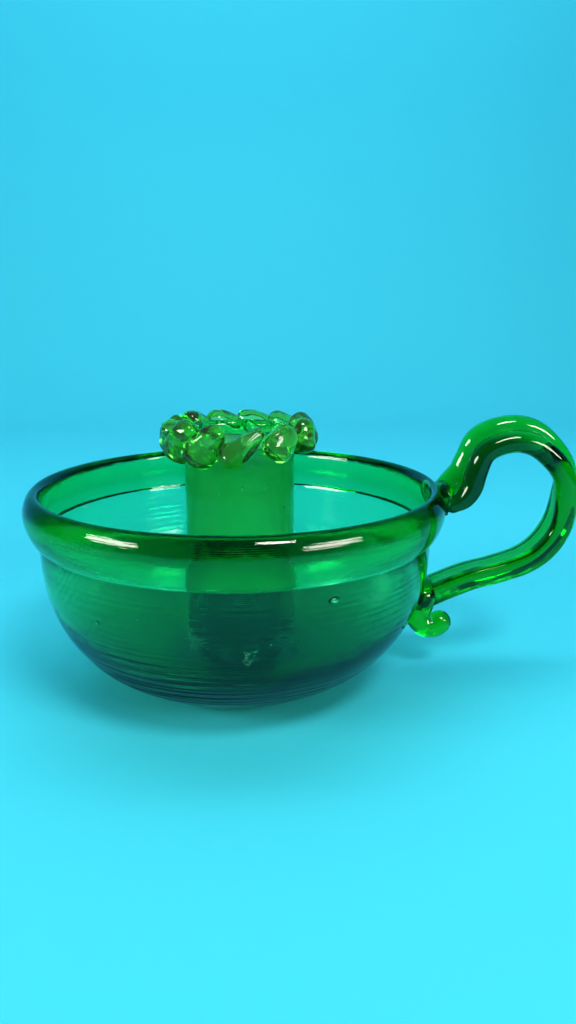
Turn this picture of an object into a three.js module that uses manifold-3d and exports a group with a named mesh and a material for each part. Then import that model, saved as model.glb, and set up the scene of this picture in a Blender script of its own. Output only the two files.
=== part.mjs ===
// A hand-blown glass chamber candlestick: a bowl with a folded rim, a closed candle socket standing
// in it with a wreath of pressed lobes round its mouth, and a drawn strap handle of two canes.
import * as THREE from "three";
import { mergeVertices } from "three/addons/utils/BufferGeometryUtils.js";
import Module from "manifold-3d";

const wasm = await Module();
wasm.setup();

// Driving dimensions, in millimetres and degrees.
// The origin is the centre of the ground base, +Z is up and the handle leaves along +X.
const sealGap = 0.3; // clearance at every place where two gathers of glass meet

const bowl = {
  neckRadius: 53.4, // outside, in the groove under the folded rim
  neckHeight: 44.6,
  outerDepth: 47, // from the neck down to where the outer curve would close
  outerFullness: 2.6, // 2 is an ellipse, more is fuller at the shoulder
  innerDepth: 39.8, // from the neck down to the inner floor
  innerFullness: 3.1,
  wall: 2.3, // at the neck
  sides: 48,
  outerSteps: 11,
  innerSteps: 10,
};

// The folded rim outside, from the groove up to its crest: [outwards, up] from the neck.
const rimOutside = [
  [0, 0],
  [1.2, 0.4],
  [2.5, 2.5],
  [3.5, 5.6],
  [3.6, 7.8],
  [3.0, 10.0],
  [2.0, 11.6],
  [0.8, 12.4],
];

// The folded rim inside, from the crest down to the inner wall.
const rimInside = [
  [0.8, 12.4],
  [-0.3, 12.0],
  [-1.0, 10.6],
  [-1.3, 8.0],
  [-1.7, 4.6],
  [-1.9, 1.2],
  [-bowl.wall, 0],
];

const rimSteps = 11; // on each side

const socket = {
  offset: 0.7, // the socket stands a little towards the handle
  radius: 15,
  boreRadius: 12,
  bottom: 13,
  top: 72.3,
  floor: 3.5, // thickness under the bore
  corner: 3.4, // rounding outside at the bottom
  boreCorner: 1.5,
  sides: 36,
};

const stub = {
  footRadius: 12.5,
  shoulderRadius: 9.4, // where the foot has run in
  shoulderDrop: 1.2, // under the middle
  waistRadius: 8.6,
  waistRise: 0.8, // over the middle
  headRadius: 9.6,
  sides: 24,
  steps: 6,
};

const collar = {
  radius: 18.4, // to the middle of a lobe
  height: 69.9,
  depth: 6.2, // of a lobe, outwards from the socket
};

// Lobes, counted from the front: [turn, slant, length, width].
const lobes = [
  [5.5, 34, 12.0, 4.6],
  [34, 56, 9.0, 7.8],
  [68, 60, 9.0, 7.6],
  [100, 42, 10.8, 6.2],
  [131, 44, 10.6, 6.3],
  [161, 40, 10.8, 6.1],
  [191, 46, 10.4, 6.3],
  [220, 42, 10.4, 6.0],
  [247, 48, 9.6, 6.2],
  [274, 76, 8.6, 6.8],
  [310.5, 50, 10.4, 6.8],
  [338.5, 36, 11.6, 4.9],
];

const handle = {
  caneRadius: 3.0,
  spacing: 6.3, // between the middles of the two canes
  frontStart: 0, // share of the route where each cane begins
  rearStart: 0.025,
  tipSlimming: 0.33, // of the front cane, where it was sheared off
  tipReach: 0.13, // share of its length over which it fills out
  sides: 12,
  steps: 36,
};

// The middle of the strap, from the rim over the arch to the wall: [x, z, roll of the strap].
const handleRoute = [
  [58.9, 50.6, 35],
  [64.0, 57.9, 22],
  [65.6, 62.2, 19],
  [69.0, 67.3, 37],
  [76.8, 69.7, 42],
  [83.6, 68.3, 39],
  [92.4, 59.2, 27],
  [93.0, 52.0, 14],
  [92.3, 45.4, 6],
  [90.4, 40.6, 2],
  [86.9, 36.1, 0],
  [82.2, 32.9, 0],
  [74.0, 30.1, 0],
  [65.5, 27.9, 0],
  [54.5, 23.4, 0],
];

// The drawn tail under the lower seal: down the wall, then out and up in a small scroll.
const tail = {
  radius: 3.4,
  sides: 12,
  steps: 10,
  route: [
    [53.6, 0, 19.8],
    [52.4, 0, 15.8],
    [54.8, -0.3, 13.1],
    [57.4, -0.5, 13.0],
    [58.8, -0.6, 14.2],
  ],
};

const rimSeal = { centre: [60.2, -0.5, 52.4], size: [8.6, 13.2, 9.4] };

// The thread of glass dragged along the rim when the handle was stuck on: turns from the handle's own direction.
const dragged = { from: -4, to: -16, reach: 57, height: 50.2, radius: 1.4, sides: 8, steps: 6 };

const wallSeal = { centre: [52.8, 0, 23.8], size: [9.6, 16.5, 10.6] };

const degrees = THREE.MathUtils.degToRad;
const across = new THREE.Vector3(0, 1, 0);
const upward = new THREE.Vector3(0, 0, 1);

function glass(colour, roughness) {
  return new THREE.MeshStandardMaterial({ color: colour, roughness, metalness: 0 });
}

function named(name, geometry, material) {
  const mesh = new THREE.Mesh(geometry, material);
  mesh.name = name;
  return mesh;
}

// A closed three.js shape as a solid that can be joined and cut.
function solidOf(geometry) {
  const bare = geometry.clone();
  bare.deleteAttribute("normal");
  bare.deleteAttribute("uv");
  const merged = mergeVertices(bare, 1e-3);
  return new wasm.Manifold(
    new wasm.Mesh({
      numProp: 3,
      vertProperties: merged.attributes.position.array,
      triVerts: new Uint32Array(merged.index.array),
    }),
  );
}

function geometryOf(solid) {
  const mesh = solid.getMesh();
  const geometry = new THREE.BufferGeometry();
  geometry.setAttribute("position", new THREE.BufferAttribute(mesh.vertProperties, 3));
  geometry.setIndex(new THREE.BufferAttribute(mesh.triVerts, 1));
  geometry.computeVertexNormals();
  return geometry;
}

// Turns an outline of [radius, height] points about the Z axis.
function turned(outline, sides) {
  const points = outline.map(([radius, height]) => new THREE.Vector2(radius, height));
  return new THREE.LatheGeometry(points, sides).rotateX(Math.PI / 2);
}

function arc(centreRadius, centreHeight, radius, from, to, steps) {
  const points = [];
  for (let i = 0; i <= steps; i++) {
    const angle = degrees(from + ((to - from) * i) / steps);
    points.push([centreRadius + radius * Math.cos(angle), centreHeight + radius * Math.sin(angle)]);
  }
  return points;
}

// One side of the bowl's wall, a superellipse from the given angle off the axis up to the neck.
function wallOutline(radius, depth, fullness, from, steps) {
  const points = [];
  for (let i = 0; i <= steps; i++) {
    const angle = from + ((Math.PI / 2 - from) * i) / steps;
    const below = depth * Math.pow(Math.max(Math.cos(angle), 0), 2 / fullness);
    points.push([radius * Math.sin(angle), bowl.neckHeight - below]);
  }
  return points;
}

function outerWall(grown) {
  const depth = bowl.outerDepth + grown;
  const height = bowl.neckHeight + grown;
  const baseAngle = Math.acos(Math.pow(height / depth, bowl.outerFullness / 2));
  return wallOutline(bowl.neckRadius + grown, depth, bowl.outerFullness, baseAngle, bowl.outerSteps);
}

function innerWall() {
  return wallOutline(bowl.neckRadius - bowl.wall, bowl.innerDepth, bowl.innerFullness, 0, bowl.innerSteps);
}

function floorHeight(radius) {
  const share = radius / (bowl.neckRadius - bowl.wall);
  const below = bowl.innerDepth * Math.pow(1 - share * share, 1 / bowl.innerFullness);
  return bowl.neckHeight - below;
}

// One side of the rim as [radius, height] points, without its two ends.
function rimPoints(outline) {
  const corners = outline.map(([out, up]) => new THREE.Vector2(bowl.neckRadius + out, bowl.neckHeight + up));
  const points = new THREE.SplineCurve(corners).getPoints(rimSteps);
  return points.slice(1, -1).map((point) => [point.x, point.y]);
}

function rimCrest() {
  const [out, up] = rimInside[0];
  return [bowl.neckRadius + out, bowl.neckHeight + up];
}

function bowlGeometry() {
  const rim = [...rimPoints(rimOutside), rimCrest(), ...rimPoints(rimInside)];
  const inside = innerWall().reverse();
  return turned([[0, 0], ...outerWall(0), ...rim, ...inside], bowl.sides);
}

// The bowl without its hollow and a seal's clearance larger, for cutting what is sealed to its outside.
function bowlCutter() {
  const rim = rimPoints(rimOutside).map(([radius, height]) => [radius + sealGap, height]);
  const crest = rimCrest()[1] + sealGap;
  const outline = [[0, -sealGap], ...outerWall(sealGap), ...rim, [bowl.neckRadius, crest], [0, crest]];
  return solidOf(turned(outline, bowl.sides));
}

function socketGeometry() {
  const lip = (socket.radius - socket.boreRadius) / 2;
  const boreFloor = socket.bottom + socket.floor;
  const outline = [
    [0, socket.bottom],
    ...arc(socket.radius - socket.corner, socket.bottom + socket.corner, socket.corner, -90, 0, 5),
    ...arc(socket.radius - lip, socket.top - lip, lip, 0, 180, 6),
    ...arc(socket.boreRadius - socket.boreCorner, boreFloor + socket.boreCorner, socket.boreCorner, 0, -90, 3),
    [0, boreFloor],
  ];
  return turned(outline, socket.sides).translate(socket.offset, 0, 0);
}

// The waisted stub that joins the socket's bottom to the bowl's floor.
function stubGeometry() {
  const foot = stub.footRadius;
  const head = socket.bottom - sealGap;
  const middle = (floorHeight(foot) + head) / 2;
  const side = new THREE.SplineCurve([
    new THREE.Vector2(foot, floorHeight(foot + socket.offset) + sealGap),
    new THREE.Vector2(stub.shoulderRadius, middle - stub.shoulderDrop),
    new THREE.Vector2(stub.waistRadius, middle + stub.waistRise),
    new THREE.Vector2(stub.headRadius, head),
  ]);
  const outline = [
    [0, floorHeight(socket.offset) + sealGap],
    [foot / 2, floorHeight(foot / 2 + socket.offset) + sealGap],
    ...side.getPoints(stub.steps).map((point) => [point.x, point.y]),
    [0, head],
  ];
  return turned(outline, stub.sides).translate(socket.offset, 0, 0);
}

// Bends a shape that lies along its own Y axis onto a curve, and scales its section by girthAt.
// Its Z axis turns towards the direction that outwardAt gives for each point of the curve.
function bent(shape, curve, outwardAt, girthAt = () => 1) {
  shape.computeBoundingBox();
  const low = shape.boundingBox.min.y;
  const high = shape.boundingBox.max.y;
  const place = shape.attributes.position;
  for (let i = 0; i < place.count; i++) {
    const along = THREE.MathUtils.clamp((place.getY(i) - low) / (high - low), 0, 1);
    const point = curve.getPointAt(along);
    const tangent = curve.getTangentAt(along);
    const side = new THREE.Vector3().crossVectors(tangent, outwardAt(point)).normalize();
    const outward = new THREE.Vector3().crossVectors(side, tangent);
    point.addScaledVector(side, place.getX(i) * girthAt(along));
    point.addScaledVector(outward, place.getZ(i) * girthAt(along));
    place.setXYZ(i, point.x, point.y, point.z);
  }
  return shape;
}

// Points of a curve with both ends drawn out along their own direction.
function drawnOut(curve, distance, steps) {
  const points = curve.getPoints(steps);
  const first = points[0].clone().addScaledVector(curve.getTangent(0), -distance);
  const last = points[points.length - 1].clone().addScaledVector(curve.getTangent(1), distance);
  return new THREE.CatmullRomCurve3([first, ...points, last]);
}

// A round-ended cane with the curve as its middle line, closed and facing out.
function caneAlong(curve, radius, sides, steps, outward, girthAt) {
  const capsule = new THREE.CapsuleGeometry(radius, curve.getLength(), 4, sides, steps);
  return bent(capsule, drawnOut(curve, radius, steps), () => outward, girthAt);
}

// One lobe, laid aslant against the socket's wall with its long axis rising to the right.
function lobeGeometry([turn, slant, length, width]) {
  const reach = (length / 2) * Math.cos(degrees(slant));
  const rise = (length / 2) * Math.sin(degrees(slant));
  const points = [-1, -0.5, 0, 0.5, 1].map((share) => {
    const angle = degrees(turn - 90) + (share * reach) / collar.radius;
    const x = socket.offset + collar.radius * Math.cos(angle);
    const y = collar.radius * Math.sin(angle);
    return new THREE.Vector3(x, y, collar.height + share * rise);
  });
  const capsule = new THREE.CapsuleGeometry(width / 2, length - width, 3, 10, 2);
  capsule.scale(1, 1, collar.depth / width);
  const fromAxis = (point) => new THREE.Vector3(point.x - socket.offset, point.y, 0);
  return bent(capsule, new THREE.CatmullRomCurve3(points), fromAxis);
}

// The route of one cane: the strap's middle, moved half the spacing to one side of the rolled strap.
function caneCurve(side, start) {
  const middle = new THREE.CatmullRomCurve3(handleRoute.map(([x, z]) => new THREE.Vector3(x, 0, z)));
  const roll = new THREE.CatmullRomCurve3(handleRoute.map(([x, z, turn]) => new THREE.Vector3(turn, 0, 0)));
  const points = [];
  for (let i = 0; i <= handle.steps; i++) {
    const share = start + ((1 - start) * i) / handle.steps;
    const tangent = middle.getTangent(share);
    const above = new THREE.Vector3(-tangent.z, 0, tangent.x);
    const turn = degrees(roll.getPoint(share).x);
    const point = middle.getPoint(share);
    point.y += side * (handle.spacing / 2) * Math.cos(turn);
    point.addScaledVector(above, side * (handle.spacing / 2) * Math.sin(turn));
    points.push(point);
  }
  return new THREE.CatmullRomCurve3(points);
}

// The front cane is slim where it was sheared off and fills out towards the arch.
function frontGirth(along) {
  return 1 - handle.tipSlimming * Math.exp(-Math.pow(along / handle.tipReach, 2));
}

function canes(grown) {
  const radius = handle.caneRadius + grown;
  const front = caneCurve(-1, handle.frontStart);
  const rear = caneCurve(1, handle.rearStart);
  return [
    solidOf(caneAlong(front, radius, handle.sides, handle.steps, across, frontGirth)),
    solidOf(caneAlong(rear, radius, handle.sides, handle.steps, across)),
  ];
}

function tailSolid(grown) {
  const curve = new THREE.CatmullRomCurve3(tail.route.map((point) => new THREE.Vector3(...point)));
  return solidOf(caneAlong(curve, tail.radius + grown, tail.sides, tail.steps, across));
}

function pressedPad({ centre, size }) {
  const ball = new THREE.SphereGeometry(0.5, 20, 14);
  return solidOf(ball.scale(...size).translate(...centre));
}

// The thread of glass pulled along the outside of the rim when the handle was stuck on.
function draggedThread() {
  const points = [0, 0.25, 0.5, 0.75, 1].map((share) => {
    const angle = degrees(dragged.from + (dragged.to - dragged.from) * share);
    return new THREE.Vector3(dragged.reach * Math.cos(angle), dragged.reach * Math.sin(angle), dragged.height);
  });
  const curve = new THREE.CatmullRomCurve3(points);
  return solidOf(caneAlong(curve, dragged.radius, dragged.sides, dragged.steps, upward));
}

const bowlGreen = 0x12a562;
const thickGreen = 0x0b6a35;
const cloudyGreen = 0x1fb252;
const paleGreen = 0x2fc04a;
const deepGreen = 0x0a8a2c;
const polished = 0.05; // roughness of fire-polished glass
const cloudy = 0.2;

const candlestick = new THREE.Group();
candlestick.add(named("bowl", bowlGeometry(), glass(bowlGreen, polished)));
candlestick.add(named("socket_stub", stubGeometry(), glass(thickGreen, polished)));
candlestick.add(named("candle_socket", socketGeometry(), glass(cloudyGreen, cloudy)));

const wreath = new THREE.Group();
lobes.forEach((lobe, index) => {
  const name = "collar_lobe_" + String(index + 1).padStart(2, "0");
  wreath.add(named(name, lobeGeometry(lobe), glass(paleGreen, polished)));
});
candlestick.add(wreath);

const outside = bowlCutter();
const [frontCutter, rearCutter] = canes(sealGap);
const [frontCane, rearCane] = canes(0).map((cane) => cane.subtract(outside));
const scroll = tailSolid(0).subtract(outside).subtract(frontCutter).subtract(rearCutter);
const scrollCutter = tailSolid(sealGap);
const rimPad = pressedPad(rimSeal)
  .add(draggedThread())
  .subtract(outside)
  .subtract(frontCutter)
  .subtract(rearCutter);
const wallPad = pressedPad(wallSeal)
  .subtract(outside)
  .subtract(frontCutter)
  .subtract(rearCutter)
  .subtract(scrollCutter);

const strap = new THREE.Group();
strap.add(named("handle_front_cane", geometryOf(frontCane), glass(deepGreen, polished)));
strap.add(named("handle_rear_cane", geometryOf(rearCane), glass(deepGreen, polished)));
strap.add(named("handle_tail_scroll", geometryOf(scroll), glass(deepGreen, polished)));
strap.add(named("handle_rim_seal", geometryOf(rimPad), glass(deepGreen, polished)));
strap.add(named("handle_wall_seal", geometryOf(wallPad), glass(deepGreen, polished)));
candlestick.add(strap);

export default candlestick;
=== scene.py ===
import math
import bpy
import bmesh
from mathutils import Matrix, Vector, noise
from mathutils.bvhtree import BVHTree


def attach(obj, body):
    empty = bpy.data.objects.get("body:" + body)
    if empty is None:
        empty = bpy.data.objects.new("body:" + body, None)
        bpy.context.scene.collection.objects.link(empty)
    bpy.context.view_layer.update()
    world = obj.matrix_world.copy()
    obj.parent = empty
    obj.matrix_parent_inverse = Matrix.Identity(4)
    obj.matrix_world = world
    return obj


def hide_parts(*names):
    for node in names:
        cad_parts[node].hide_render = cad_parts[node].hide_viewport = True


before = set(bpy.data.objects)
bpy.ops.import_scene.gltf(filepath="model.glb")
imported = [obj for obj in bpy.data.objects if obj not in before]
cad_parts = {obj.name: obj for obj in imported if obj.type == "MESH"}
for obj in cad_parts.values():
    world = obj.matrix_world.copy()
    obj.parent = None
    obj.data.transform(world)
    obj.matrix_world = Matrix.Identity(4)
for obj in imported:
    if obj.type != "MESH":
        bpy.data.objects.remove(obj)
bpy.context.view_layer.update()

mm = .001
seamReach = 2e-6  # verts nearer than this are merged
print("frame loaded,", len(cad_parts), "nodes")


# ---- small helpers for hot glass ----

# a smooth line through a few points, evenly spread over them
def smoothLine(points, steps):
    spots = [Vector(p) for p in points]
    spots = [spots[0] * 2 - spots[1]] + spots + [spots[-1] * 2 - spots[-2]]
    spans = len(spots) - 3
    line = []
    for i in range(steps + 1):
        along = min(i * spans / steps, spans - 1e-9)
        k = int(along)
        t = along - k
        a, b, c, d = spots[k:k + 4]
        ab, bc, cd = [max((q - p).length, 1e-9) ** .5 for p, q in ((a, b), (b, c), (c, d))]
        leaveB = ((b - a) / ab - (c - a) / (ab + bc) + (c - b) / bc) * bc
        reachC = ((c - b) / bc - (d - b) / (bc + cd) + (d - c) / cd) * bc
        line.append(b * (2 * t ** 3 - 3 * t ** 2 + 1) + leaveB * (t ** 3 - 2 * t ** 2 + t)
                    + c * (3 * t ** 2 - 2 * t ** 3) + reachC * (t ** 3 - t ** 2))
    return line


# an outline of (radius, height) turned on the blowpipe, about a line through (x, 0)
def spinOutline(outline, steps, x=0):
    bm = bmesh.new()
    chain = [bm.verts.new((r, 0, z)) for r, z in outline]
    edges = [bm.edges.new(pair) for pair in zip(chain, chain[1:])]
    bmesh.ops.spin(bm, geom=chain + edges, cent=(0, 0, 0), axis=(0, 0, 1), angle=math.tau,
                   steps=steps, use_merge=True, use_duplicate=False)
    bmesh.ops.translate(bm, vec=(x, 0, 0), verts=bm.verts)
    return bm


def vertsOf(made):
    return [part for part in made if isinstance(part, bmesh.types.BMVert)]


# a cane drawn through rings of (centre, direction, half width, half depth), with shallow ribs that
# may twist; square gives how squared its section is along it, from 2, which is round
def drawCane(rings, sides, reference, ribs=0, ribDepth=0, twist=0, square=None):
    bm = bmesh.new()
    verts = bmesh.ops.create_circle(bm, cap_ends=False, segments=sides, radius=1)["verts"]
    for v in verts:
        v.co *= 1 + ribDepth * math.cos(ribs * math.atan2(v.co.y, v.co.x))
    edges = list(bm.edges)
    last = Matrix.Identity(4)
    placed = []
    for i, (centre, direction, halfWidth, halfDepth) in enumerate(rings):
        along = direction.normalized()
        wide = (reference - along * reference.dot(along)).normalized()
        deep = along.cross(wide)
        section = Matrix((wide * halfWidth, deep * halfDepth, along)).transposed().to_4x4()
        untwisted = Matrix.Translation(centre) @ section
        here = untwisted @ Matrix.Rotation(twist * i / len(rings), 4, "Z")
        if i:
            made = bmesh.ops.extrude_edge_only(bm, edges=edges)["geom"]
            verts = vertsOf(made)
            fresh = set(verts)
            edges = [part for part in made
                     if isinstance(part, bmesh.types.BMEdge) and set(part.verts) <= fresh]
        else:
            firstRing = verts
        bmesh.ops.transform(bm, matrix=here @ last.inverted(), verts=verts)
        last = here
        placed.append((untwisted, verts))
    for i, (ring, ringVerts) in enumerate(placed):
        power = square(i / len(placed)) if square else 2
        if power > 2:
            for v in ringVerts:
                spot = ring.inverted() @ v.co
                spot *= (abs(spot.x) ** power + abs(spot.y) ** power) ** (-1 / power)
                v.co = ring @ Vector((spot.x, spot.y, 0))
    for ring, centre in ((firstRing, rings[0][0]), (verts, rings[-1][0])):
        bmesh.ops.pointmerge(bm, verts=ring, merge_co=centre)
    return bm


# rings for a round-ended cane along a smooth line
def caneRings(line, halfWidth, halfDepth, caps=5):
    rings = []
    count = len(line) - 1
    for i, point in enumerate(line):
        share = i / count
        direction = line[min(i + 1, count)] - line[max(i - 1, 0)]
        wide, deep = halfWidth(share), halfDepth(share)
        if i == 0 or i == count:
            outward = direction.normalized() * (-1 if i == 0 else 1)
            dome = []
            for k in range(1, caps + 1):
                turn = k / caps * math.pi / 2
                grown = max(math.cos(turn), .01)
                reach = math.sin(turn) * min(wide, deep)
                dome.append((point + outward * reach, direction, wide * grown, deep * grown))
            if i == 0:
                rings += dome[::-1] + [(point, direction, wide, deep)]
            else:
                rings += [(point, direction, wide, deep)] + dome
        else:
            rings.append((point, direction, wide, deep))
    return rings


# the slight waviness of glass shaped by hand
def waver(bm, amount, size, seed):
    bm.normal_update()
    for v in bm.verts:
        v.co += v.normal * noise.noise(v.co / size + Vector((seed, 7.1, 3.3))) * amount


# a copy of a piece that is a hair slimmer, so that glass cut by it still touches the piece
def slimCopy(piece, amount=.03 * mm):
    bm = bmesh.new()
    bm.from_mesh(piece.data)
    bm.normal_update()
    for v in bm.verts:
        v.co -= v.normal * amount
    return bm


def looseObject(bm, name):
    mesh = bpy.data.meshes.new(name)
    bm.to_mesh(mesh)
    bm.free()
    thing = bpy.data.objects.new(name, mesh)
    bpy.context.scene.collection.objects.link(thing)
    return thing


# joins shapes to a shape, then cuts others away from it, and gives back the result
def weld(bm, joined=(), cut=()):
    body = looseObject(bm, "weldBody")
    tools = []
    for operation, shapes in (("UNION", joined), ("DIFFERENCE", cut)):
        for shape in shapes:
            tool = looseObject(shape, "weldTool")
            step = body.modifiers.new(operation, "BOOLEAN")
            step.operation = operation
            step.solver = "EXACT"
            step.object = tool
            tools.append(tool)
    bpy.context.view_layer.update()
    made = bpy.data.meshes.new_from_object(body.evaluated_get(bpy.context.evaluated_depsgraph_get()))
    result = bmesh.new()
    result.from_mesh(made)
    bpy.data.meshes.remove(made)
    for thing in tools + [body]:
        used = thing.data
        bpy.data.objects.remove(thing)
        bpy.data.meshes.remove(used)
    return result


def finishPiece(name, bm, material, slotName, *nodes):
    bmesh.ops.remove_doubles(bm, verts=bm.verts, dist=seamReach)
    bmesh.ops.recalc_face_normals(bm, faces=bm.faces)
    for face in bm.faces:
        face.smooth = True
    mesh = bpy.data.meshes.new(name)
    bm.to_mesh(mesh)
    bm.free()
    mesh.materials.append(material)
    piece = bpy.data.objects.new(name, mesh)
    bpy.context.scene.collection.objects.link(piece)
    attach(piece, "root")
    if nodes:
        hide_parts(*nodes)
    return piece


# ---- glass ----

def newGroup(name, inputs, outputs):
    group = bpy.data.node_groups.new(name, "ShaderNodeTree")
    for label, kind, value in inputs:
        socket = group.interface.new_socket(name=label, in_out="INPUT", socket_type=kind)
        socket.default_value = value
    for label, kind in outputs:
        group.interface.new_socket(name=label, in_out="OUTPUT", socket_type=kind)
    return group


# the surface left by tools, breath and a slow cooling: soft ripples, fine rings and a few seeds
def buildHandBlown():
    group = newGroup("handBlownSurface",
                     [("Ripple Size", "NodeSocketFloat", 60), ("Ripple", "NodeSocketFloat", 1),
                      ("Ring Size", "NodeSocketFloat", 900), ("Rings", "NodeSocketFloat", .2),
                      ("Seed Size", "NodeSocketFloat", 260), ("Seeds", "NodeSocketFloat", .3),
                      ("Handling", "NodeSocketFloat", .03)],
                     [("Height", "NodeSocketFloat"), ("Roughness", "NodeSocketFloat")])
    nodes, links = group.nodes, group.links
    given = nodes.new("NodeGroupInput")
    out = nodes.new("NodeGroupOutput")
    place = nodes.new("ShaderNodeTexCoord")

    ripple = nodes.new("ShaderNodeTexNoise")
    ripple.inputs["Detail"].default_value = 2
    links.new(place.outputs["Object"], ripple.inputs["Vector"])
    links.new(given.outputs["Ripple Size"], ripple.inputs["Scale"])
    rippleHeight = nodes.new("ShaderNodeMath")
    rippleHeight.operation = "MULTIPLY"
    links.new(ripple.outputs["Fac"], rippleHeight.inputs[0])
    links.new(given.outputs["Ripple"], rippleHeight.inputs[1])

    rings = nodes.new("ShaderNodeTexWave")
    rings.wave_type = "BANDS"
    rings.bands_direction = "Z"
    rings.inputs["Distortion"].default_value = 3
    rings.inputs["Detail"].default_value = 1
    rings.inputs["Detail Scale"].default_value = .3
    links.new(place.outputs["Object"], rings.inputs["Vector"])
    links.new(given.outputs["Ring Size"], rings.inputs["Scale"])
    ringHeight = nodes.new("ShaderNodeMath")
    ringHeight.operation = "MULTIPLY_ADD"
    links.new(rings.outputs["Fac"], ringHeight.inputs[0])
    links.new(given.outputs["Rings"], ringHeight.inputs[1])
    links.new(rippleHeight.outputs["Value"], ringHeight.inputs[2])

    seeds = nodes.new("ShaderNodeTexVoronoi")
    seeds.inputs["Randomness"].default_value = 1
    links.new(place.outputs["Object"], seeds.inputs["Vector"])
    links.new(given.outputs["Seed Size"], seeds.inputs["Scale"])
    seedSpot = nodes.new("ShaderNodeMapRange")
    seedSpot.inputs["From Min"].default_value = .12
    seedSpot.inputs["From Max"].default_value = .04
    links.new(seeds.outputs["Distance"], seedSpot.inputs["Value"])
    seedHeight = nodes.new("ShaderNodeMath")
    seedHeight.operation = "MULTIPLY_ADD"
    links.new(seedSpot.outputs["Result"], seedHeight.inputs[0])
    links.new(given.outputs["Seeds"], seedHeight.inputs[1])
    links.new(ringHeight.outputs["Value"], seedHeight.inputs[2])
    links.new(seedHeight.outputs["Value"], out.inputs["Height"])

    smear = nodes.new("ShaderNodeTexNoise")
    smear.inputs["Scale"].default_value = 45
    smear.inputs["Detail"].default_value = 4
    links.new(place.outputs["Object"], smear.inputs["Vector"])
    smearAmount = nodes.new("ShaderNodeMapRange")
    smearAmount.inputs["From Min"].default_value = .52
    smearAmount.inputs["From Max"].default_value = .75
    links.new(smear.outputs["Fac"], smearAmount.inputs["Value"])
    links.new(given.outputs["Handling"], smearAmount.inputs["To Max"])
    links.new(smearAmount.outputs["Result"], out.inputs["Roughness"])
    return group


# painted shade: the glass is darkened towards its foot, standing in for the shadow under the candlestick
# that shows through the glass
def buildPaintedFootShade():
    group = newGroup("paintedFootShade",
                     [("Tint", "NodeSocketColor", (1, 1, 1, 1)),
                      ("Painted Foot Shade", "NodeSocketColor", (.5, .5, .5, 1)),
                      ("Fade Top", "NodeSocketFloat", .03), ("Fade Bottom", "NodeSocketFloat", .01)],
                     [("Color", "NodeSocketColor")])
    nodes, links = group.nodes, group.links
    given = nodes.new("NodeGroupInput")
    out = nodes.new("NodeGroupOutput")
    place = nodes.new("ShaderNodeTexCoord")
    parts = nodes.new("ShaderNodeSeparateXYZ")
    links.new(place.outputs["Object"], parts.inputs["Vector"])
    fade = nodes.new("ShaderNodeMapRange")
    fade.interpolation_type = "SMOOTHSTEP"
    links.new(given.outputs["Fade Top"], fade.inputs["From Min"])
    links.new(given.outputs["Fade Bottom"], fade.inputs["From Max"])
    links.new(parts.outputs["Z"], fade.inputs["Value"])
    tone = nodes.new("ShaderNodeMix")
    tone.data_type = "RGBA"
    links.new(fade.outputs["Result"], tone.inputs["Factor"])
    links.new(given.outputs["Tint"], tone.inputs["A"])
    links.new(given.outputs["Painted Foot Shade"], tone.inputs["B"])
    links.new(tone.outputs["Result"], out.inputs["Color"])
    return group


handBlown = buildHandBlown()
paintedFootShade = buildPaintedFootShade()


glass = {"bends": 1.52, "bumpReach": .0002}


# absorb is the colour that passes, and density how fast the rest is lost, per metre
def glassMaterial(name, look):
    material = bpy.data.materials.new(name)
    material.use_nodes = True
    nodes, links = material.node_tree.nodes, material.node_tree.links
    surface = nodes["Principled BSDF"]
    surface.inputs["Base Color"].default_value = (*look["tint"], 1)
    surface.inputs["IOR"].default_value = glass["bends"]
    surface.inputs["Metallic"].default_value = 0
    surface.inputs["Transmission Weight"].default_value = look["clear"]
    blown = nodes.new("ShaderNodeGroup")
    blown.node_tree = handBlown
    for label, value in look["surface"].items():
        blown.inputs[label].default_value = value
    bump = nodes.new("ShaderNodeBump")
    bump.inputs["Strength"].default_value = look["bump"]
    bump.inputs["Distance"].default_value = glass["bumpReach"]
    links.new(blown.outputs["Height"], bump.inputs["Height"])
    links.new(bump.outputs["Normal"], surface.inputs["Normal"])
    links.new(blown.outputs["Roughness"], surface.inputs["Roughness"])
    # painted shade: the base colour is darkened towards the foot
    if "footShadeTint" in look:
        foot = nodes.new("ShaderNodeGroup")
        foot.node_tree = paintedFootShade
        foot.inputs["Tint"].default_value = (*look["tint"], 1)
        foot.inputs["Painted Foot Shade"].default_value = (*look["footShadeTint"], 1)
        foot.inputs["Fade Top"].default_value = look["footShadeReach"][0]
        foot.inputs["Fade Bottom"].default_value = look["footShadeReach"][1]
        links.new(foot.outputs["Color"], surface.inputs["Base Color"])
    if "paintedShadeTint" in look:  # painted shade: the glass is darkened around one place on the piece, standing in for the dark that the overlapped canes show there
        place = nodes.new("ShaderNodeTexCoord")
        away = nodes.new("ShaderNodeVectorMath")
        away.operation = "DISTANCE"
        away.inputs[1].default_value = look["paintedShadePlace"]
        links.new(place.outputs["Object"], away.inputs[0])
        fade = nodes.new("ShaderNodeMapRange")
        fade.interpolation_type = "SMOOTHSTEP"
        fade.inputs["From Min"].default_value = look["paintedShadeReach"][0]
        fade.inputs["From Max"].default_value = look["paintedShadeReach"][1]
        links.new(away.outputs["Value"], fade.inputs["Value"])
        tone = nodes.new("ShaderNodeMix")
        tone.data_type = "RGBA"
        tone.inputs["A"].default_value = (*look["tint"], 1)
        tone.inputs["B"].default_value = (*look["paintedShadeTint"], 1)
        links.new(fade.outputs["Result"], tone.inputs["Factor"])
        links.new(tone.outputs["Result"], surface.inputs["Base Color"])
    absorb = nodes.new("ShaderNodeVolumeAbsorption")
    absorb.inputs["Color"].default_value = (*look["absorb"], 1)
    absorb.inputs["Density"].default_value = look["density"]
    links.new(absorb.outputs["Volume"], nodes["Material Output"].inputs["Volume"])
    return material


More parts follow.
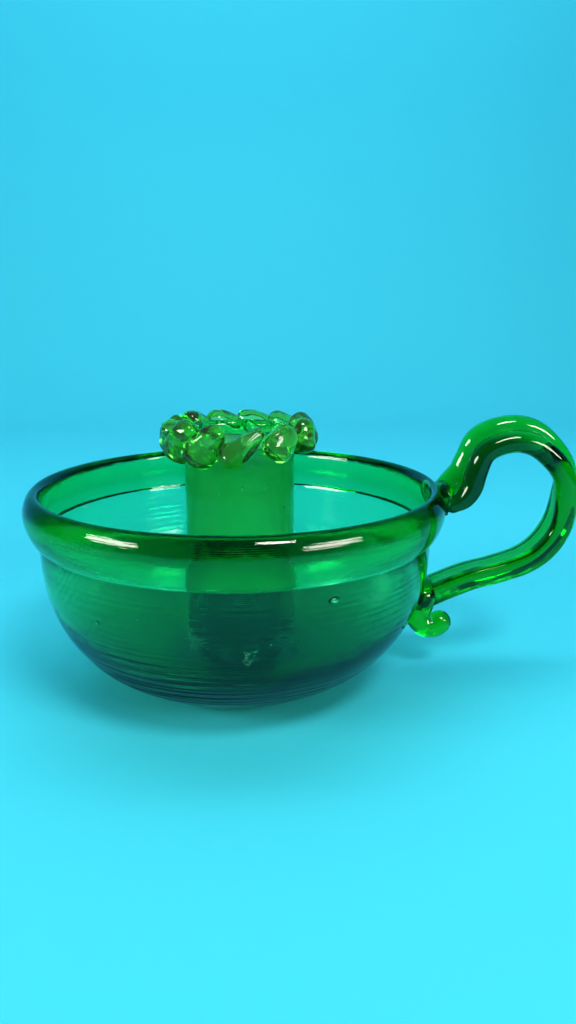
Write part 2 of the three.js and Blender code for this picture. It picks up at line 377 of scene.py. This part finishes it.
bowlGlass = glassMaterial("bowl_glass", {
    "clear": 1, "tint": (.93, 1, .96), "absorb": (0, .92, .6), "density": 700, "bump": .3,
    # the foot tint is painted shade, for the shadow under the bowl seen through its foot
    "footShadeTint": (.38, .52, .32), "footShadeReach": (.038, .008),
    "surface": {"Ripple Size": 55, "Ripple": 1, "Ring Size": 700, "Rings": .12,
                "Seed Size": 300, "Seeds": .25, "Handling": .03}})
socketGlass = glassMaterial("socket_glass", {
    "clear": 1, "tint": (.95, 1, .96), "absorb": (0, .94, .55), "density": 450, "bump": .25,
    # the foot tint is painted shade, for the dark low end of the socket
    "footShadeTint": (.3, .42, .4), "footShadeReach": (.028, .023),
    "surface": {"Ripple Size": 90, "Ripple": 1, "Ring Size": 500, "Rings": .1,
                "Seed Size": 350, "Seeds": .2, "Handling": .04}})
collarGlass = glassMaterial("collar_glass", {
    "clear": .975, "tint": (.95, 1, .85), "absorb": (.5, .96, .4), "density": 300, "bump": .5,
    "surface": {"Ripple Size": 300, "Ripple": 2, "Ring Size": 300, "Rings": 0,
                "Seed Size": 500, "Seeds": .3, "Handling": .3}})
handleLook = {
    "clear": 1, "tint": (.93, 1, .92), "absorb": (0, .89, .3), "density": 700, "bump": .3,
    "surface": {"Ripple Size": 120, "Ripple": 1, "Ring Size": 300, "Rings": 0,
                "Seed Size": 400, "Seeds": .25, "Handling": .03}}
handleGlass = glassMaterial("handle_glass", handleLook)
caneGlass = glassMaterial("handle_glass_painted_shade", {
    # the dense tint is painted shade on the front cane's limb, for the dark that the overlapped canes show
    **handleLook, "paintedShadeTint": (.03, .06, .03), "paintedShadePlace": (.069, -.03, .056),
    "paintedShadeReach": (.034, .028)})
tailGlass = glassMaterial("tail_glass", {
    "clear": 1, "tint": (.95, 1, .85), "absorb": (.15, .9, .15), "density": 620, "bump": .45,
    "surface": {"Ripple Size": 200, "Ripple": 1.5, "Ring Size": 300, "Rings": 0,
                "Seed Size": 400, "Seeds": .25, "Handling": .05}})
bubbleGlass = glassMaterial("bubble_glass", {
    "clear": 1, "tint": (.9, 1, .95), "absorb": (.9, 1, .95), "density": 1, "bump": .05,
    "surface": {"Ripple Size": 300, "Ripple": .2, "Ring Size": 300, "Rings": 0,
                "Seed Size": 400, "Seeds": 0, "Handling": .02}})


# a cloudy bloom on the glass: thin, frosted and a little milky
def bloomMaterial(look):
    material = bpy.data.materials.new("bore_bloom")
    material.use_nodes = True
    nodes, links = material.node_tree.nodes, material.node_tree.links
    surface = nodes["Principled BSDF"]
    surface.inputs["IOR"].default_value = look["bends"]
    surface.inputs["Transmission Weight"].default_value = look["clear"]
    place = nodes.new("ShaderNodeTexCoord")
    cloud = nodes.new("ShaderNodeTexNoise")
    cloud.inputs["Scale"].default_value = look["scale"]
    cloud.inputs["Detail"].default_value = 3
    links.new(place.outputs["Object"], cloud.inputs["Vector"])
    tone = nodes.new("ShaderNodeMix")
    tone.data_type = "RGBA"
    tone.inputs["A"].default_value = (*look["thin"], 1)
    tone.inputs["B"].default_value = (*look["thick"], 1)
    links.new(cloud.outputs["Fac"], tone.inputs["Factor"])
    links.new(tone.outputs["Result"], surface.inputs["Base Color"])
    frost = nodes.new("ShaderNodeMapRange")
    frost.inputs["From Min"].default_value = .3
    frost.inputs["From Max"].default_value = .7
    frost.inputs["To Min"].default_value = look["frost"][0]
    frost.inputs["To Max"].default_value = look["frost"][1]
    links.new(cloud.outputs["Fac"], frost.inputs["Value"])
    links.new(frost.outputs["Result"], surface.inputs["Roughness"])
    return material


bloomGlass = bloomMaterial({"scale": 60, "thin": (.5, 1, .75), "thick": (.7, 1, .85),
                            "clear": .3, "bends": 1.4, "frost": (.35, .5)})
print("glass mixed")


# ---- bowl ----

bowl = {"neckRadius": 53.4, "neckHeight": 44.6, "outerDepth": 47, "outerFullness": 2.6,
        "innerDepth": 39.8, "innerFullness": 3.1, "wall": 2.3,
        "steps": 180, "outerSteps": 210, "innerSteps": 60, "rimSteps": 45,
        "rim": [(0, 0), (1.2, .4), (2.5, 2.5), (3.5, 5.6), (3.6, 7.8), (3.0, 10.0), (2.0, 11.6),
                (.8, 12.4), (-.3, 12.0), (-1.0, 10.6), (-1.3, 8), (-1.7, 4.6), (-1.9, 1.2), (-2.3, 0)],
        "waver": .25, "waverSize": .03,
        # the rings left by the tools: depth, pitch of the broad and the fine ones, and how they wander
        "rings": .09, "broadPitch": 3300, "finePitch": 5900, "wander": 5,
        # they are plainest in a band above the foot
        "footRings": .9, "footRingHeight": .0125, "footRingReach": .003}


# one side of the wall, from an angle off the axis up to the neck
def wallOutline(radius, depth, fullness, start, count):
    outline = []
    for i in range(count + 1):
        angle = start + (math.pi / 2 - start) * i / count
        below = depth * max(math.cos(angle), 0) ** (2 / fullness)
        outline.append((radius * math.sin(angle), bowl["neckHeight"] - below))
    return outline


def floorHeight(radius):
    share = radius / (bowl["neckRadius"] - bowl["wall"])
    return bowl["neckHeight"] - bowl["innerDepth"] * (1 - share ** 2) ** (1 / bowl["innerFullness"])


def makeBowl():
    b = bowl
    start = math.acos((b["neckHeight"] / b["outerDepth"]) ** (b["outerFullness"] / 2))
    neck = b["neckRadius"]
    outer = wallOutline(neck, b["outerDepth"], b["outerFullness"], start, b["outerSteps"])
    inner = wallOutline(neck - b["wall"], b["innerDepth"], b["innerFullness"], 0, b["innerSteps"])
    rim = smoothLine([(neck + out, b["neckHeight"] + up, 0) for out, up in b["rim"]], b["rimSteps"])
    foot = [(outer[0][0] * share, 0) for share in (0, .35, .7)]
    outline = foot + outer + [(p.x, p.y) for p in rim[1:-1]] + inner[::-1]
    bm = spinOutline([(r * mm, z * mm) for r, z in outline], b["steps"])
    bmesh.ops.remove_doubles(bm, verts=bm.verts, dist=seamReach)
    for v in bm.verts:
        outward = Vector((v.co.x, v.co.y, 0))
        if outward.length < 1e-5 or v.co.z < .001:
            continue
        turn = math.atan2(v.co.y, v.co.x)
        height = v.co.z
        east, north = math.cos(turn), math.sin(turn)
        wind = noise.noise(Vector((east * .8, north * .8, height * 120))) * b["wander"]
        tool = math.sin(height * b["broadPitch"] + wind)
        tool += .7 * math.sin(height * b["finePitch"] - wind * 1.7)
        patch = max(0, noise.noise(Vector((east * 1.3 + 5, north * 1.3, height * 55))) + .35)
        patch *= .35 + 1.1 * ((1 - east) / 2) ** 2  # plainer on the side away from the handle
        patch += b["footRings"] * math.exp(-((height - b["footRingHeight"]) / b["footRingReach"]) ** 2)
        lean = noise.noise(v.co / b["waverSize"]) * b["waver"]
        onWall = min(1, height / .006) * min(1, max(0, (.042 - height) / .004))  # not on foot or rim
        v.co += outward.normalized() * (tool * patch * onWall * b["rings"] + lean) * mm
    return finishPiece("glassBowl", bm, bowlGlass, "bowl_glass", "bowl")


# gas bubbles caught in the walls: each is turn from the front, height, and half its length, height
# and thickness; the seeds are the fine ones
bubbles = {"large": [(23.4, 40.2, 1.5, .85, .6), (-38, 33, .6, .5, .4), (57, 24, .7, .5, .4)],
           "socket": [(5, 58, .4, .75, .45), (29, 58, .45, .5, .45), (25, 56.8, .5, .3, .4),
                      (-19, 56.5, .3, .3, .3), (-27, 56.8, .25, .25, .25), (53, 51.5, .3, .6, .35)],
           "seeds": 32, "seedSize": (.18, .42), "seedLow": 9, "seedHigh": 42, "spread": 137.5,
           "sunk": .3}


def makeBubbles(name, wallPiece, spots, slotName):
    wall = bmesh.new()
    wall.from_mesh(wallPiece.data)
    skin = BVHTree.FromBMesh(wall)
    wall.free()
    bm = bmesh.new()
    for turn, height, long, tall, thick in spots:
        around = Matrix.Rotation(math.radians(turn - 90), 3, "Z")
        outside = around @ Vector((.1, 0, height * mm))
        place, normal = skin.ray_cast(outside, around @ Vector((-1, 0, 0)))[:2]
        facing = normal.to_track_quat("Z", "Y").to_matrix()
        made = bmesh.ops.create_uvsphere(bm, u_segments=24, v_segments=14, radius=1)["verts"]
        bmesh.ops.scale(bm, vec=Vector((long, tall, thick)) * mm, verts=made)
        bmesh.ops.rotate(bm, cent=(0, 0, 0), matrix=facing, verts=made)
        bmesh.ops.translate(bm, vec=place - normal * thick * bubbles["sunk"] * mm, verts=made)
    return finishPiece(name, bm, bubbleGlass, slotName)


# fine seeds, spread by a steady turn so that they never line up
def seedSpots():
    b = bubbles
    small, large = b["seedSize"]
    spots = []
    for i in range(b["seeds"]):
        share = (i + .5) / b["seeds"]
        size = small + (large - small) * noise.noise(Vector((i * 1.37, 2.1, 0))) ** 2 * 4
        height = b["seedLow"] + (b["seedHigh"] - b["seedLow"]) * share
        spots.append((i * b["spread"], height, size * 1.5, size, size * .6))
    return spots


glassBowl = makeBowl()
makeBubbles("wallBubbles", glassBowl, bubbles["large"] + seedSpots(), "bowl_glass")
print("bowl blown")


# ---- socket ----

socket = {"offset": .7, "radius": 15, "boreRadius": 12, "bottom": 13, "top": 72.3, "floor": 3.5,
          "corner": 3.4, "boreCorner": 1.6, "steps": 96, "wallSteps": 30}
stub = {"footRadius": 12.5, "waistRadius": 8.6, "headRadius": 9.6, "sink": .6, "steps": 72}


def arcPoints(radius, height, size, start, end, count):
    turns = [math.radians(start + (end - start) * i / count) for i in range(count + 1)]
    return [(radius + size * math.cos(t), height + size * math.sin(t)) for t in turns]


def ladder(radius, low, high, count):
    return [(radius, low + (high - low) * i / count) for i in range(1, count)]


def makeSocket():
    s = socket
    lip = (s["radius"] - s["boreRadius"]) / 2
    boreFloor = s["bottom"] + s["floor"]
    corner = arcPoints(s["radius"] - s["corner"], s["bottom"] + s["corner"], s["corner"], -90, 0, 8)
    mouth = arcPoints(s["radius"] - lip, s["top"] - lip, lip, 0, 180, 12)
    bore = arcPoints(s["boreRadius"] - s["boreCorner"], boreFloor + s["boreCorner"],
                     s["boreCorner"], 0, -90, 5)
    outline = ([(0, s["bottom"])] + corner
               + ladder(s["radius"], corner[-1][1], mouth[0][1], s["wallSteps"]) + mouth
               + ladder(s["boreRadius"], mouth[-1][1], bore[0][1], s["wallSteps"]) + bore
               + [(0, boreFloor)])
    bm = spinOutline([(r * mm, z * mm) for r, z in outline], s["steps"], s["offset"] * mm)
    bmesh.ops.remove_doubles(bm, verts=bm.verts, dist=seamReach)
    waver(bm, .15 * mm, .018, 4)
    return finishPiece("candleSocket", bm, socketGlass, "socket_glass", "candle_socket")


def makeStub():
    foot, head = stub["footRadius"], socket["bottom"] + stub["sink"]
    floor = floorHeight(foot) - stub["sink"]
    middle = (floor + head) / 2
    side = smoothLine([(foot, floor, 0), (stub["waistRadius"] + .8, middle - 1.2, 0),
                       (stub["waistRadius"], middle + .8, 0), (stub["headRadius"], head, 0)], 16)
    outline = ([(0, floorHeight(0) - stub["sink"]), (foot / 2, floorHeight(foot / 2) - stub["sink"])]
               + [(p.x, p.y) for p in side] + [(0, head)])
    bm = spinOutline([(r * mm, z * mm) for r, z in outline], stub["steps"], socket["offset"] * mm)
    return finishPiece("socketStub", bm, bowlGlass, "bowl_glass", "socket_stub")


# the cloudy bloom inside the bore, with a wavy lower edge and one run
film = {"radius": 12.25, "thick": .6, "top": 68, "low": 27.5, "wave": 1.1, "waveReach": 12,
        "runTurn": -52, "runLength": 3.4, "runWidth": 7, "steps": 144, "wallSteps": 24}


def makeFilm():
    f = film
    outer, inner, low, top = f["radius"], f["radius"] - f["thick"], f["low"], f["top"]
    outline = ([(outer, low)] + ladder(outer, low, top, f["wallSteps"]) + [(outer, top), (inner, top)]
               + ladder(inner, top, low, f["wallSteps"]) + [(inner, low), (outer, low)])
    bm = spinOutline([(r * mm, z * mm) for r, z in outline], f["steps"], socket["offset"] * mm)
    bmesh.ops.remove_doubles(bm, verts=bm.verts, dist=seamReach)
    for v in bm.verts:
        turn = math.atan2(v.co.x - socket["offset"] * mm, -v.co.y)
        nearEdge = max(0, 1 - (v.co.z / mm - low) / f["waveReach"])
        wave = noise.noise(Vector((math.sin(turn) * 1.7, math.cos(turn) * 1.7, 5))) * 2 * f["wave"]
        run = math.exp(-((math.degrees(turn) - f["runTurn"]) / f["runWidth"]) ** 2) * f["runLength"]
        v.co.z += (wave - run) * nearEdge * mm
    return finishPiece("boreBloom", bm, bloomGlass, "socket_glass")


makeBubbles("socketBubbles", makeSocket(), bubbles["socket"], "socket_glass")
makeStub()
makeFilm()
print("socket set")


# ---- collar ----

collar = {"radius": 18.1, "height": 69.9, "depth": 6.8, "swell": 1.08, "lumps": .2,
          "creaseTurn": 1.1, "creaseTwist": .8, "creaseWidth": .55, "creaseDepth": .13,
          # each lobe: turn from the front, slant, length, width, lift, how much finer its upper end is
          "lobes": [(2.5, 40, 13.6, 5.6, -.5, .45), (36, 56, 9.8, 8.6, 0, .1),
                    (70, 60, 9.4, 7.8, .5, 0), (100, 30, 13.4, 7.0, .4, .1),
                    (131, 26, 13.8, 7.0, .2, .2), (161, 24, 14, 6.8, .3, .1),
                    (191, 26, 13.6, 7.0, 0, .2), (220, 28, 13.4, 6.6, .4, .1),
                    (247, 36, 11.8, 6.8, .3, .2), (274, 70, 9.4, 7.0, -.3, 0),
                    (305, 50, 12.4, 8.0, .2, .2), (332, 50, 12.6, 7.4, -.2, .3)]}


# a dab of hot glass pressed on aslant, with the crease that the tool left in it
def makeLobe(number, turn, slant, length, width, lift, finer):
    bm = bmesh.new()
    bmesh.ops.create_uvsphere(bm, u_segments=56, v_segments=36, radius=1)
    c = collar
    start = math.radians(turn - 90)
    lean = math.radians(slant)
    for v in bm.verts:
        p = v.co.copy()
        around = math.atan2(p.y, p.x)
        fuller = math.sqrt(1 + p.z ** 2)
        fold = math.remainder(around - c["creaseTurn"] - p.z * c["creaseTwist"], math.tau)
        crease = 1 - c["creaseDepth"] * math.exp(-(fold / c["creaseWidth"]) ** 2)
        bulge = 1 + c["lumps"] * noise.noise(p * 1.1 + Vector((number * 3.7, 0, 0)))
        bulge *= 1 - finer * p.z
        x = p.x * fuller * width / 2 * crease * bulge * c["swell"]
        outward = p.y * fuller * c["depth"] / 2 * crease * bulge
        along = p.z * length / 2
        side = along * math.cos(lean) + x * math.sin(lean)
        up = along * math.sin(lean) - x * math.cos(lean)
        radius = c["radius"] + outward
        angle = start + side / c["radius"]
        v.co = Vector((socket["offset"] + radius * math.cos(angle), radius * math.sin(angle),
                       c["height"] + lift + up)) * mm
    name = "collar_lobe_%02d" % number
    return finishPiece("pressedLobe%02d" % number, bm, collarGlass, "collar_glass", name)


for number, lobe in enumerate(collar["lobes"], 1):
    makeLobe(number, *lobe)
print("collar pressed on")


# ---- handle ----

handle = {"caneRadius": 3.0, "spacing": 5.8, "steps": 130, "sides": 40, "rearStart": .03,
          # each half's girth: how full it is, the change at its start, and how far that reaches
          "frontGirth": (1.03, -.24, .07), "rearGirth": (1, .18, .05),
          # the halves close up over one stretch, and their section squares over another
          "fused": .16, "fusedOver": (.25, .75), "flatness": 4.2, "flatOver": (.42, .62),
          # the sheared end, and where and how closely the route takes over from it
          "sheared": [(60.2, -2.9, 50.2), (63.0, -2.9, 51.6), (65.2, -2.8, 54.8), (66.3, -2.7, 59.2)],
          "joinsAt": 24, "joinsEvery": 8,
          "ribs": 3, "ribDepth": .008, "twist": 2.6,
          # out from the axis, height, and how far the pair is rolled, in degrees
          "route": [(58.9, 50.6, 35), (64.0, 57.9, 22), (65.6, 62.2, 19), (69.0, 67.3, 37),
                    (76.8, 69.7, 42), (83.6, 68.3, 39), (92.4, 59.2, 27), (93.0, 52.0, 14),
                    (92.3, 45.4, 6), (90.4, 40.6, 2), (86.9, 36.1, 0), (82.2, 32.9, 0),
                    (74.0, 30.1, 0), (65.5, 27.9, 0), (54.5, 23.4, 0)]}
tail = {"radius": 3.4, "sides": 32, "steps": 30,
        "route": [(53.6, 0, 19.8), (52.4, 0, 15.8), (54.8, -.3, 13.1), (57.4, -.5, 13), (58.8, -.6, 14.2)]}
rimSeal = {"centre": (58.0, .8, 53.3), "size": (5.6, 13.2, 6.4)}
wallSeal = {"centre": (52.6, 0, 23.5), "size": (9.4, 16.2, 10.4)}
thread = {"from": 1, "to": -17, "height": 51.2, "radius": 57.0, "thick": 1.0, "taper": .55,
          "sides": 16, "steps": 12}
across = Vector((0, 1, 0))
upward = Vector((0, 0, 1))


# a soft step from 0 to 1
def easeIn(share, start, end):
    t = min(1, max(0, (share - start) / (end - start)))
    return t * t * (3 - 2 * t)


def drawStrap(side, start, girth, ribDepth):
    h = handle
    middle = smoothLine([(x * mm, 0, z * mm) for x, z, roll in h["route"]], h["steps"])
    rolls = smoothLine([(roll, 0, 0) for x, z, roll in h["route"]], h["steps"])
    first = round(start * h["steps"])
    line = []
    for i in range(first, h["steps"] + 1):
        share = i / h["steps"]
        direction = (middle[min(i + 1, h["steps"])] - middle[max(i - 1, 0)]).normalized()
        above = Vector((-direction.z, 0, direction.x))
        roll = math.radians(rolls[i].x)
        fused = 1 - h["fused"] * easeIn(share, *h["fusedOver"])
        half = side * h["spacing"] / 2 * fused * mm
        line.append(middle[i] + across * half * math.cos(roll) + above * half * math.sin(roll))
    if side < 0:  # the sheared end hooks out before it climbs
        climb = line[h["joinsAt"]::h["joinsEvery"]]
        line = smoothLine([Vector(p) * mm for p in h["sheared"]] + climb + [line[-1]], h["steps"])
    rings = caneRings(line, girth, girth)
    flatter = lambda share: 2 + (h["flatness"] - 2) * easeIn(share, *h["flatOver"])
    bm = drawCane(rings, h["sides"], across, h["ribs"], ribDepth, h["twist"], flatter)
    waver(bm, .12 * mm, .03, 2 + side)
    return bm


# a cane's half width: slimmer where it was sheared off, or spread where it was pressed on the rim
def girthOf(full, change, reach):
    return lambda share: handle["caneRadius"] * mm * (full + change * math.exp(-(share / reach) ** 2))


# one cane doubled back on itself, so its two halves have melted together
def makeHandle():
    h = handle
    halves = weld(drawStrap(1, h["rearStart"], girthOf(*h["rearGirth"]), h["ribDepth"] * .5),
                  joined=[drawStrap(-1, 0, girthOf(*h["frontGirth"]), h["ribDepth"])],
                  cut=[slimCopy(glassBowl)])
    cane = finishPiece("doubledCane", halves, caneGlass, "handle_glass",
                       "handle_front_cane", "handle_rear_cane")
    line = smoothLine([Vector(p) * mm for p in tail["route"]], tail["steps"])
    even = lambda share: tail["radius"] * mm
    curl = weld(drawCane(caneRings(line, even, even), tail["sides"], across),
                cut=[slimCopy(glassBowl), slimCopy(cane)])
    scroll = finishPiece("tailScroll", curl, tailGlass, "handle_glass", "handle_tail_scroll")
    pad = weld(pressPad(rimSeal), joined=[pullThread()], cut=[slimCopy(glassBowl), slimCopy(cane)])
    finishPiece("rimSeal", pad, handleGlass, "handle_glass", "handle_rim_seal")
    pad = weld(pressPad(wallSeal), cut=[slimCopy(glassBowl), slimCopy(cane), slimCopy(scroll)])
    finishPiece("wallSeal", pad, tailGlass, "handle_glass", "handle_wall_seal")


# the thread of hot glass dragged along the rim from the seal
def pullThread():
    t = thread
    sweep = [math.radians(t["from"] + (t["to"] - t["from"]) * i / t["steps"])
             for i in range(t["steps"] + 1)]
    line = [Vector((t["radius"] * math.cos(turn), t["radius"] * math.sin(turn), t["height"])) * mm
            for turn in sweep]
    taper = lambda share: t["thick"] * mm * (1 - t["taper"] * share)
    return drawCane(caneRings(line, taper, taper), t["sides"], upward)


def pressPad(pad):
    bm = bmesh.new()
    bmesh.ops.create_uvsphere(bm, u_segments=48, v_segments=32, radius=.5)
    bmesh.ops.scale(bm, vec=Vector(pad["size"]) * mm, verts=bm.verts)
    bmesh.ops.translate(bm, vec=Vector(pad["centre"]) * mm, verts=bm.verts)
    return bm


makeHandle()
print("handle stuck on")


# ---- studio ----

# each light: place, what it faces, width, height, watts, colour
studio = {"floorColour": (.07, .62, .80), "skyColour": (.1, .45, .6), "sky": (.18, 1.0),
          "plainColour": (.09, .62, .84),
          "floorSize": 6, "sweepRadius": .4, "sweepAt": .5, "sweepHeight": 1.6,
          "lights": [((-.76, -.34, .36), (0, 0, .03), .5, .2, 3.8, (1, .97, .93)),
                     ((.63, -.55, .36), (0, 0, .03), .5, .2, 3.4, (1, .97, .93)),
                     ((.22, -.50, .72), (0, 0, .03), .3, .2, 2.8, (1, .97, .93))],
          # these light the paper and make no highlights on the glass
          "washes": [((0, .1, 1.1), (0, 1, .45), 1.4, .5, 4, (1, .98, .96)),
                     ((0, .25, 1.2), (0, .05, 0), 1.3, 1.0, 3.3, (1, .98, .96))]}
view = {"place": (0, -.2086, .1019), "down": 14.47, "right": 3.86, "roll": .25, "lens": 27.05}


# a sheet of paper that lies under the candlestick and curves up behind it
def makeBackdrop():
    s = studio
    curve = arcPoints(s["sweepAt"], s["sweepRadius"], s["sweepRadius"], -90, 0, 16)
    profile = [(-s["floorSize"], 0), (0, 0)] + curve + [(curve[-1][0], s["sweepHeight"])]
    bm = bmesh.new()
    chain = [bm.verts.new((-s["floorSize"], y, z)) for y, z in profile]
    edges = [bm.edges.new(pair) for pair in zip(chain, chain[1:])]
    made = bmesh.ops.extrude_edge_only(bm, edges=edges)["geom"]
    bmesh.ops.translate(bm, vec=(2 * s["floorSize"], 0, 0), verts=vertsOf(made))
    bmesh.ops.recalc_face_normals(bm, faces=bm.faces)
    for face in bm.faces:
        face.smooth = True
    mesh = bpy.data.meshes.new("backdrop")
    bm.to_mesh(mesh)
    bm.free()
    paper = bpy.data.materials.new("backdrop_paper")
    paper.use_nodes = True
    surface = paper.node_tree.nodes["Principled BSDF"]
    surface.inputs["Base Color"].default_value = (*s["floorColour"], 1)
    surface.inputs["Roughness"].default_value = .8
    surface.inputs["Specular IOR Level"].default_value = .2
    mesh.materials.append(paper)
    backdrop = bpy.data.objects.new("backdrop", mesh)
    bpy.context.scene.collection.objects.link(backdrop)


def makeLight(number, place, target, width, height, watts, colour, makesHighlights):
    lamp = bpy.data.lights.new("softbox%d" % number, "AREA")
    lamp.shape = "ELLIPSE"
    lamp.size = width
    lamp.size_y = height
    lamp.energy = watts
    lamp.color = colour
    holder = bpy.data.objects.new("softbox%d" % number, lamp)
    bpy.context.scene.collection.objects.link(holder)
    holder.visible_camera = False
    holder.visible_glossy = makesHighlights
    holder.location = place
    holder.rotation_euler = (Vector(target) - holder.location).to_track_quat("-Z", "Y").to_euler()


# the room is dim in front of the candlestick and brighter behind it, above the paper
def lightSky(nodes, links):
    place = nodes.new("ShaderNodeTexCoord")
    parts = nodes.new("ShaderNodeSeparateXYZ")
    links.new(place.outputs["Generated"], parts.inputs["Vector"])
    fade = nodes.new("ShaderNodeMapRange")
    fade.inputs["From Min"].default_value = -.1
    fade.inputs["From Max"].default_value = .6
    fade.inputs["To Min"].default_value = studio["sky"][0]
    fade.inputs["To Max"].default_value = studio["sky"][1]
    links.new(parts.outputs["Y"], fade.inputs["Value"])
    sky = nodes["Background"]
    sky.inputs["Color"].default_value = (*studio["skyColour"], 1)
    links.new(fade.outputs["Result"], sky.inputs["Strength"])
    plain = nodes.new("ShaderNodeBackground")  # what shows past the paper's edge
    plain.inputs["Color"].default_value = (*studio["plainColour"], 1)
    seen = nodes.new("ShaderNodeLightPath")
    either = nodes.new("ShaderNodeMixShader")
    links.new(seen.outputs["Is Camera Ray"], either.inputs["Fac"])
    links.new(sky.outputs["Background"], either.inputs[1])
    links.new(plain.outputs["Background"], either.inputs[2])
    links.new(either.outputs["Shader"], nodes["World Output"].inputs["Surface"])


def makeCamera():
    lens = bpy.data.cameras.new("camera")
    lens.lens = view["lens"]
    lens.clip_start = .01
    camera = bpy.data.objects.new("camera", lens)
    bpy.context.scene.collection.objects.link(camera)
    turned = (Matrix.Rotation(-math.radians(view["right"]), 4, "Z")
              @ Matrix.Rotation(math.radians(90 - view["down"]), 4, "X")
              @ Matrix.Rotation(math.radians(view["roll"]), 4, "Z"))
    camera.matrix_world = Matrix.Translation(view["place"]) @ turned
    bpy.context.scene.camera = camera


makeBackdrop()
for number, light in enumerate(studio["lights"] + studio["washes"], 1):
    makeLight(number, *light, number <= len(studio["lights"]))
world = bpy.data.worlds.new("studio")
bpy.context.scene.world = world
world.use_nodes = True
lightSky(world.node_tree.nodes, world.node_tree.links)
makeCamera()
bpy.context.scene.view_settings.view_transform = "Standard"
bpy.context.scene.view_settings.look = "Medium High Contrast"
print("studio lit")
